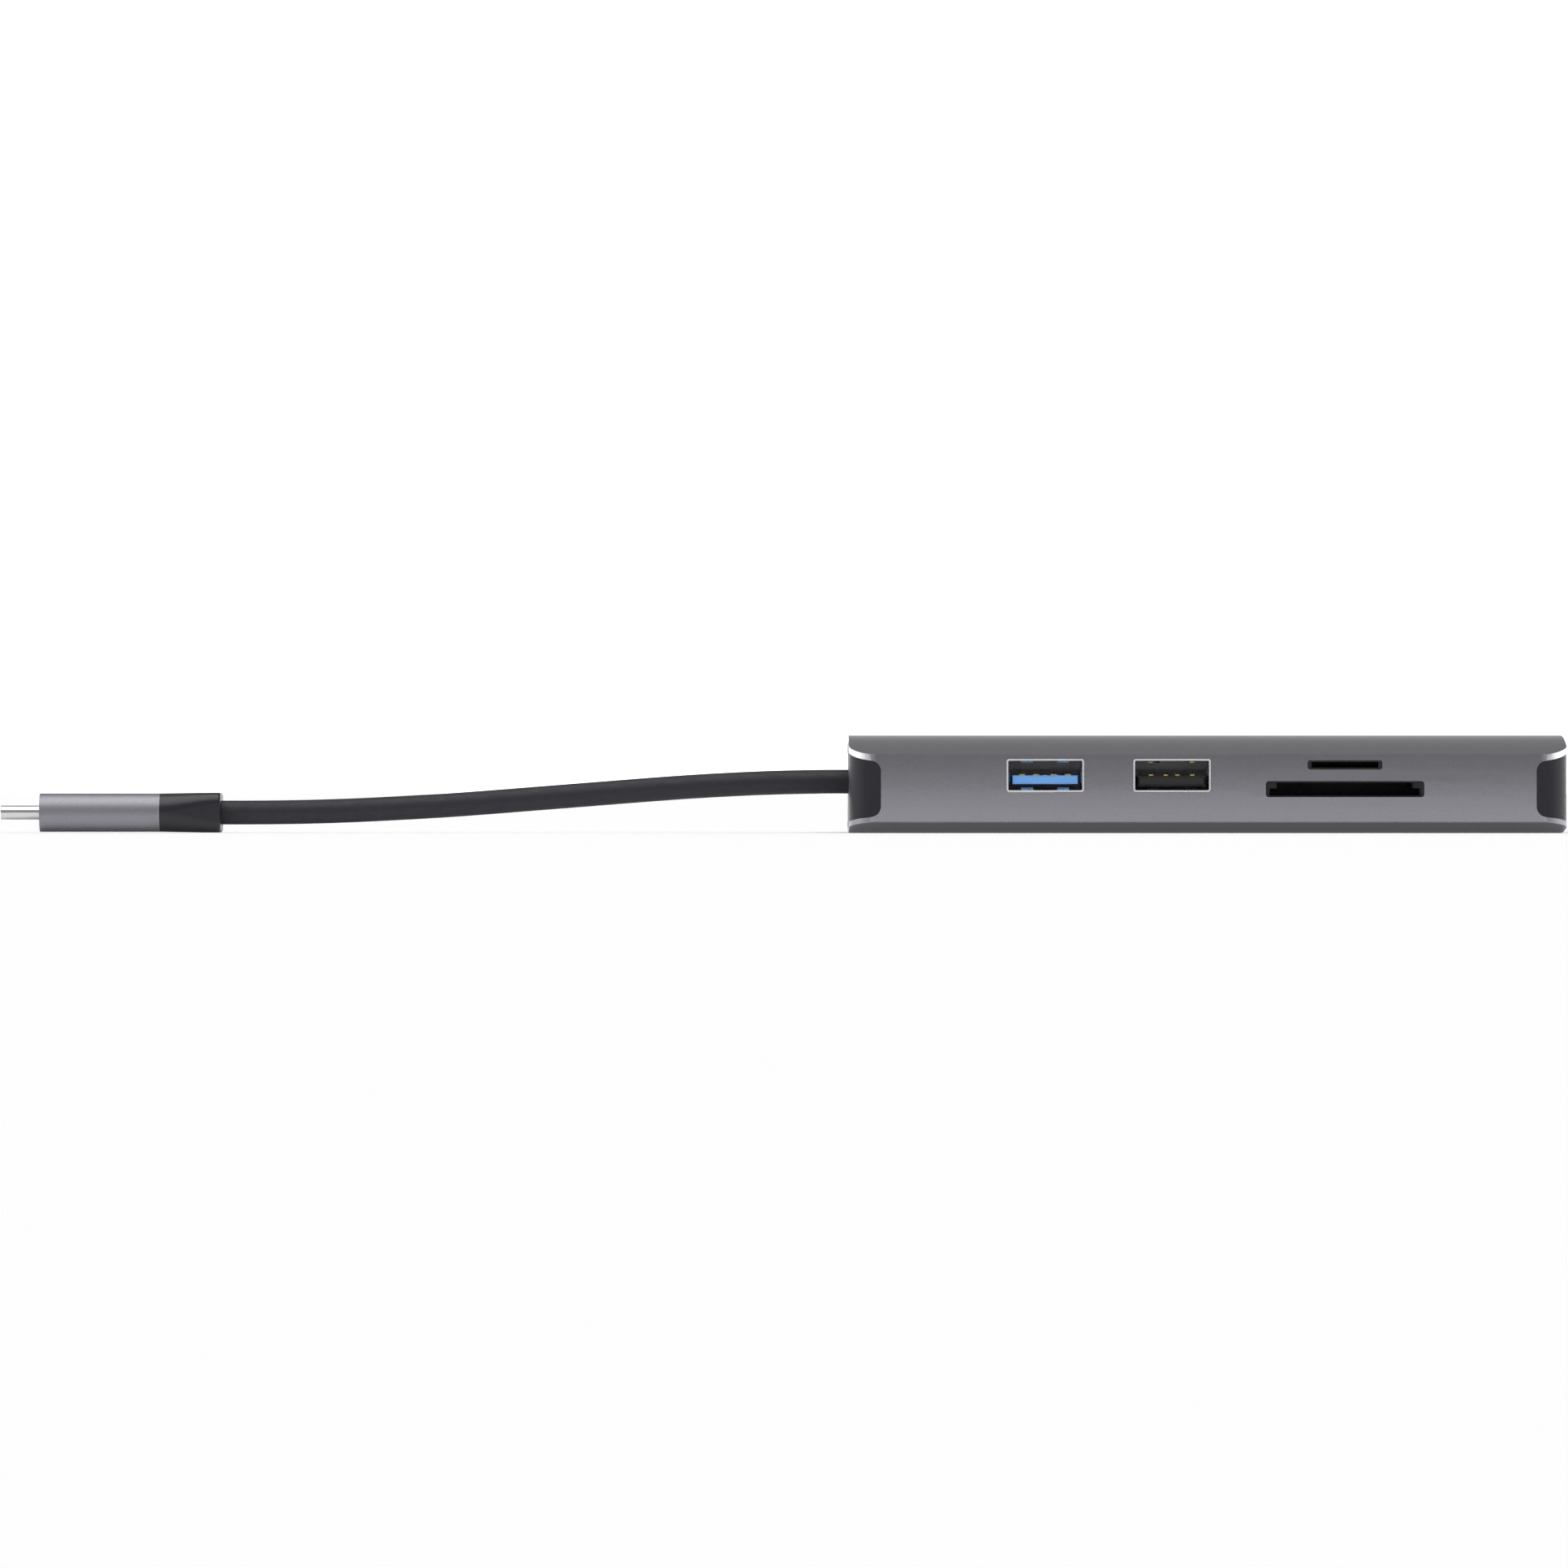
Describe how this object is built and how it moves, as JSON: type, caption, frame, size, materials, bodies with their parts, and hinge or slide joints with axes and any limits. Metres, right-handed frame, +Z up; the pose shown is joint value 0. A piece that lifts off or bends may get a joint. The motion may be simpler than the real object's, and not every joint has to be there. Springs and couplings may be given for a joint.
{
  "type": "usb hub",
  "caption": "Flat multiport USB hub: crowned aluminium sleeve, dark end caps, A-type ports and card slots in front, short captive lead with a C-type plug.",
  "frame": {"origin": "on the resting surface, under the middle of the hub body", "axes": "+X along the body away from the lead, -Y out of the face with the card slots, +Z up"},
  "size_m": [0.2663, 0.055, 0.0166],
  "materials": {
    "anodised_grey": "satin, fine bead-blasted anodising, space grey, with bright cut edges at the ends",
    "end_cap_plastic": "satin moulded plastic",
    "bezel_plastic": "satin moulded plastic",
    "lead_jacket": "satin elastomer jacket",
    "relief_elastomer": "satin elastomer overmould",
    "port_steel": "bright nickel-plated pressed steel",
    "plug_steel": "polished nickel-plated steel",
    "blue_plastic": "glass-filled insulator, blue",
    "port_housing_plastic": "glass-filled insulator, dark grey",
    "black_plastic": "glass-filled insulator, black",
    "contact_gold": "gold-plated",
    "circuit_board": "solder-masked glass-epoxy laminate",
    "chip_epoxy": "moulded epoxy",
    "ceramic": "fired ceramic",
    "ferrite": "pressed ferrite",
    "gap_pad": "soft silicone",
    "carrier_plastic": "moulded plastic",
    "screw_steel": "zinc-plated",
    "light_pipe": "translucent moulded plastic",
    "wire_insulation": "extruded plastic insulation"
  },
  "bodies": {
    "root": {"sleeve": "anodised_grey", "lead_end_cap": "end_cap_plastic", "plain_end_cap": "end_cap_plastic", "board_carrier": "carrier_plastic", "main_board": "circuit_board", "carrier_screws": "screw_steel", "usb3_shell": "port_steel", "usb3_housing": "port_housing_plastic", "usb3_tongue": "blue_plastic", "usb3_contacts": "contact_gold", "usb2_shell": "port_steel", "usb2_housing": "port_housing_plastic", "usb2_tongue": "black_plastic", "usb2_contacts": "contact_gold", "sd_bezel": "bezel_plastic", "sd_socket_base": "black_plastic", "sd_socket_cover": "port_steel", "sd_contacts": "contact_gold", "microsd_bezel": "bezel_plastic", "microsd_socket_base": "black_plastic", "microsd_socket_cover": "port_steel", "microsd_contacts": "contact_gold", "ethernet_shield": "port_steel", "ethernet_housing": "black_plastic", "ethernet_contacts": "contact_gold", "ethernet_light_pipes": "light_pipe", "hdmi_shell": "port_steel", "hdmi_tongue": "black_plastic", "hdmi_contacts": "contact_gold", "usbc_shell": "port_steel", "usbc_tongue": "black_plastic", "usbc_contacts": "contact_gold", "rear_usb3_shell": "port_steel", "rear_usb3_housing": "port_housing_plastic", "rear_usb3_tongue": "blue_plastic", "rear_usb3_contacts": "contact_gold", "shield_can": "port_steel", "thermal_pad": "gap_pad", "hub_controller": "chip_epoxy", "video_converter": "chip_epoxy", "ethernet_controller": "chip_epoxy", "card_reader_chip": "chip_epoxy", "power_chip": "chip_epoxy", "ethernet_transformer": "chip_epoxy", "crystals": "port_steel", "inductors": "ferrite", "capacitors": "ceramic", "lead_anchor": "relief_elastomer", "anchor_clamp": "port_steel", "clamp_screws": "screw_steel", "lead_wires": "wire_insulation", "lead": "lead_jacket", "plug_strain_relief": "relief_elastomer", "plug_sleeve": "anodised_grey", "plug_core": "relief_elastomer", "plug_shell": "plug_steel", "plug_liner": "black_plastic", "plug_contacts": "contact_gold"}
  },
  "joints": []
}
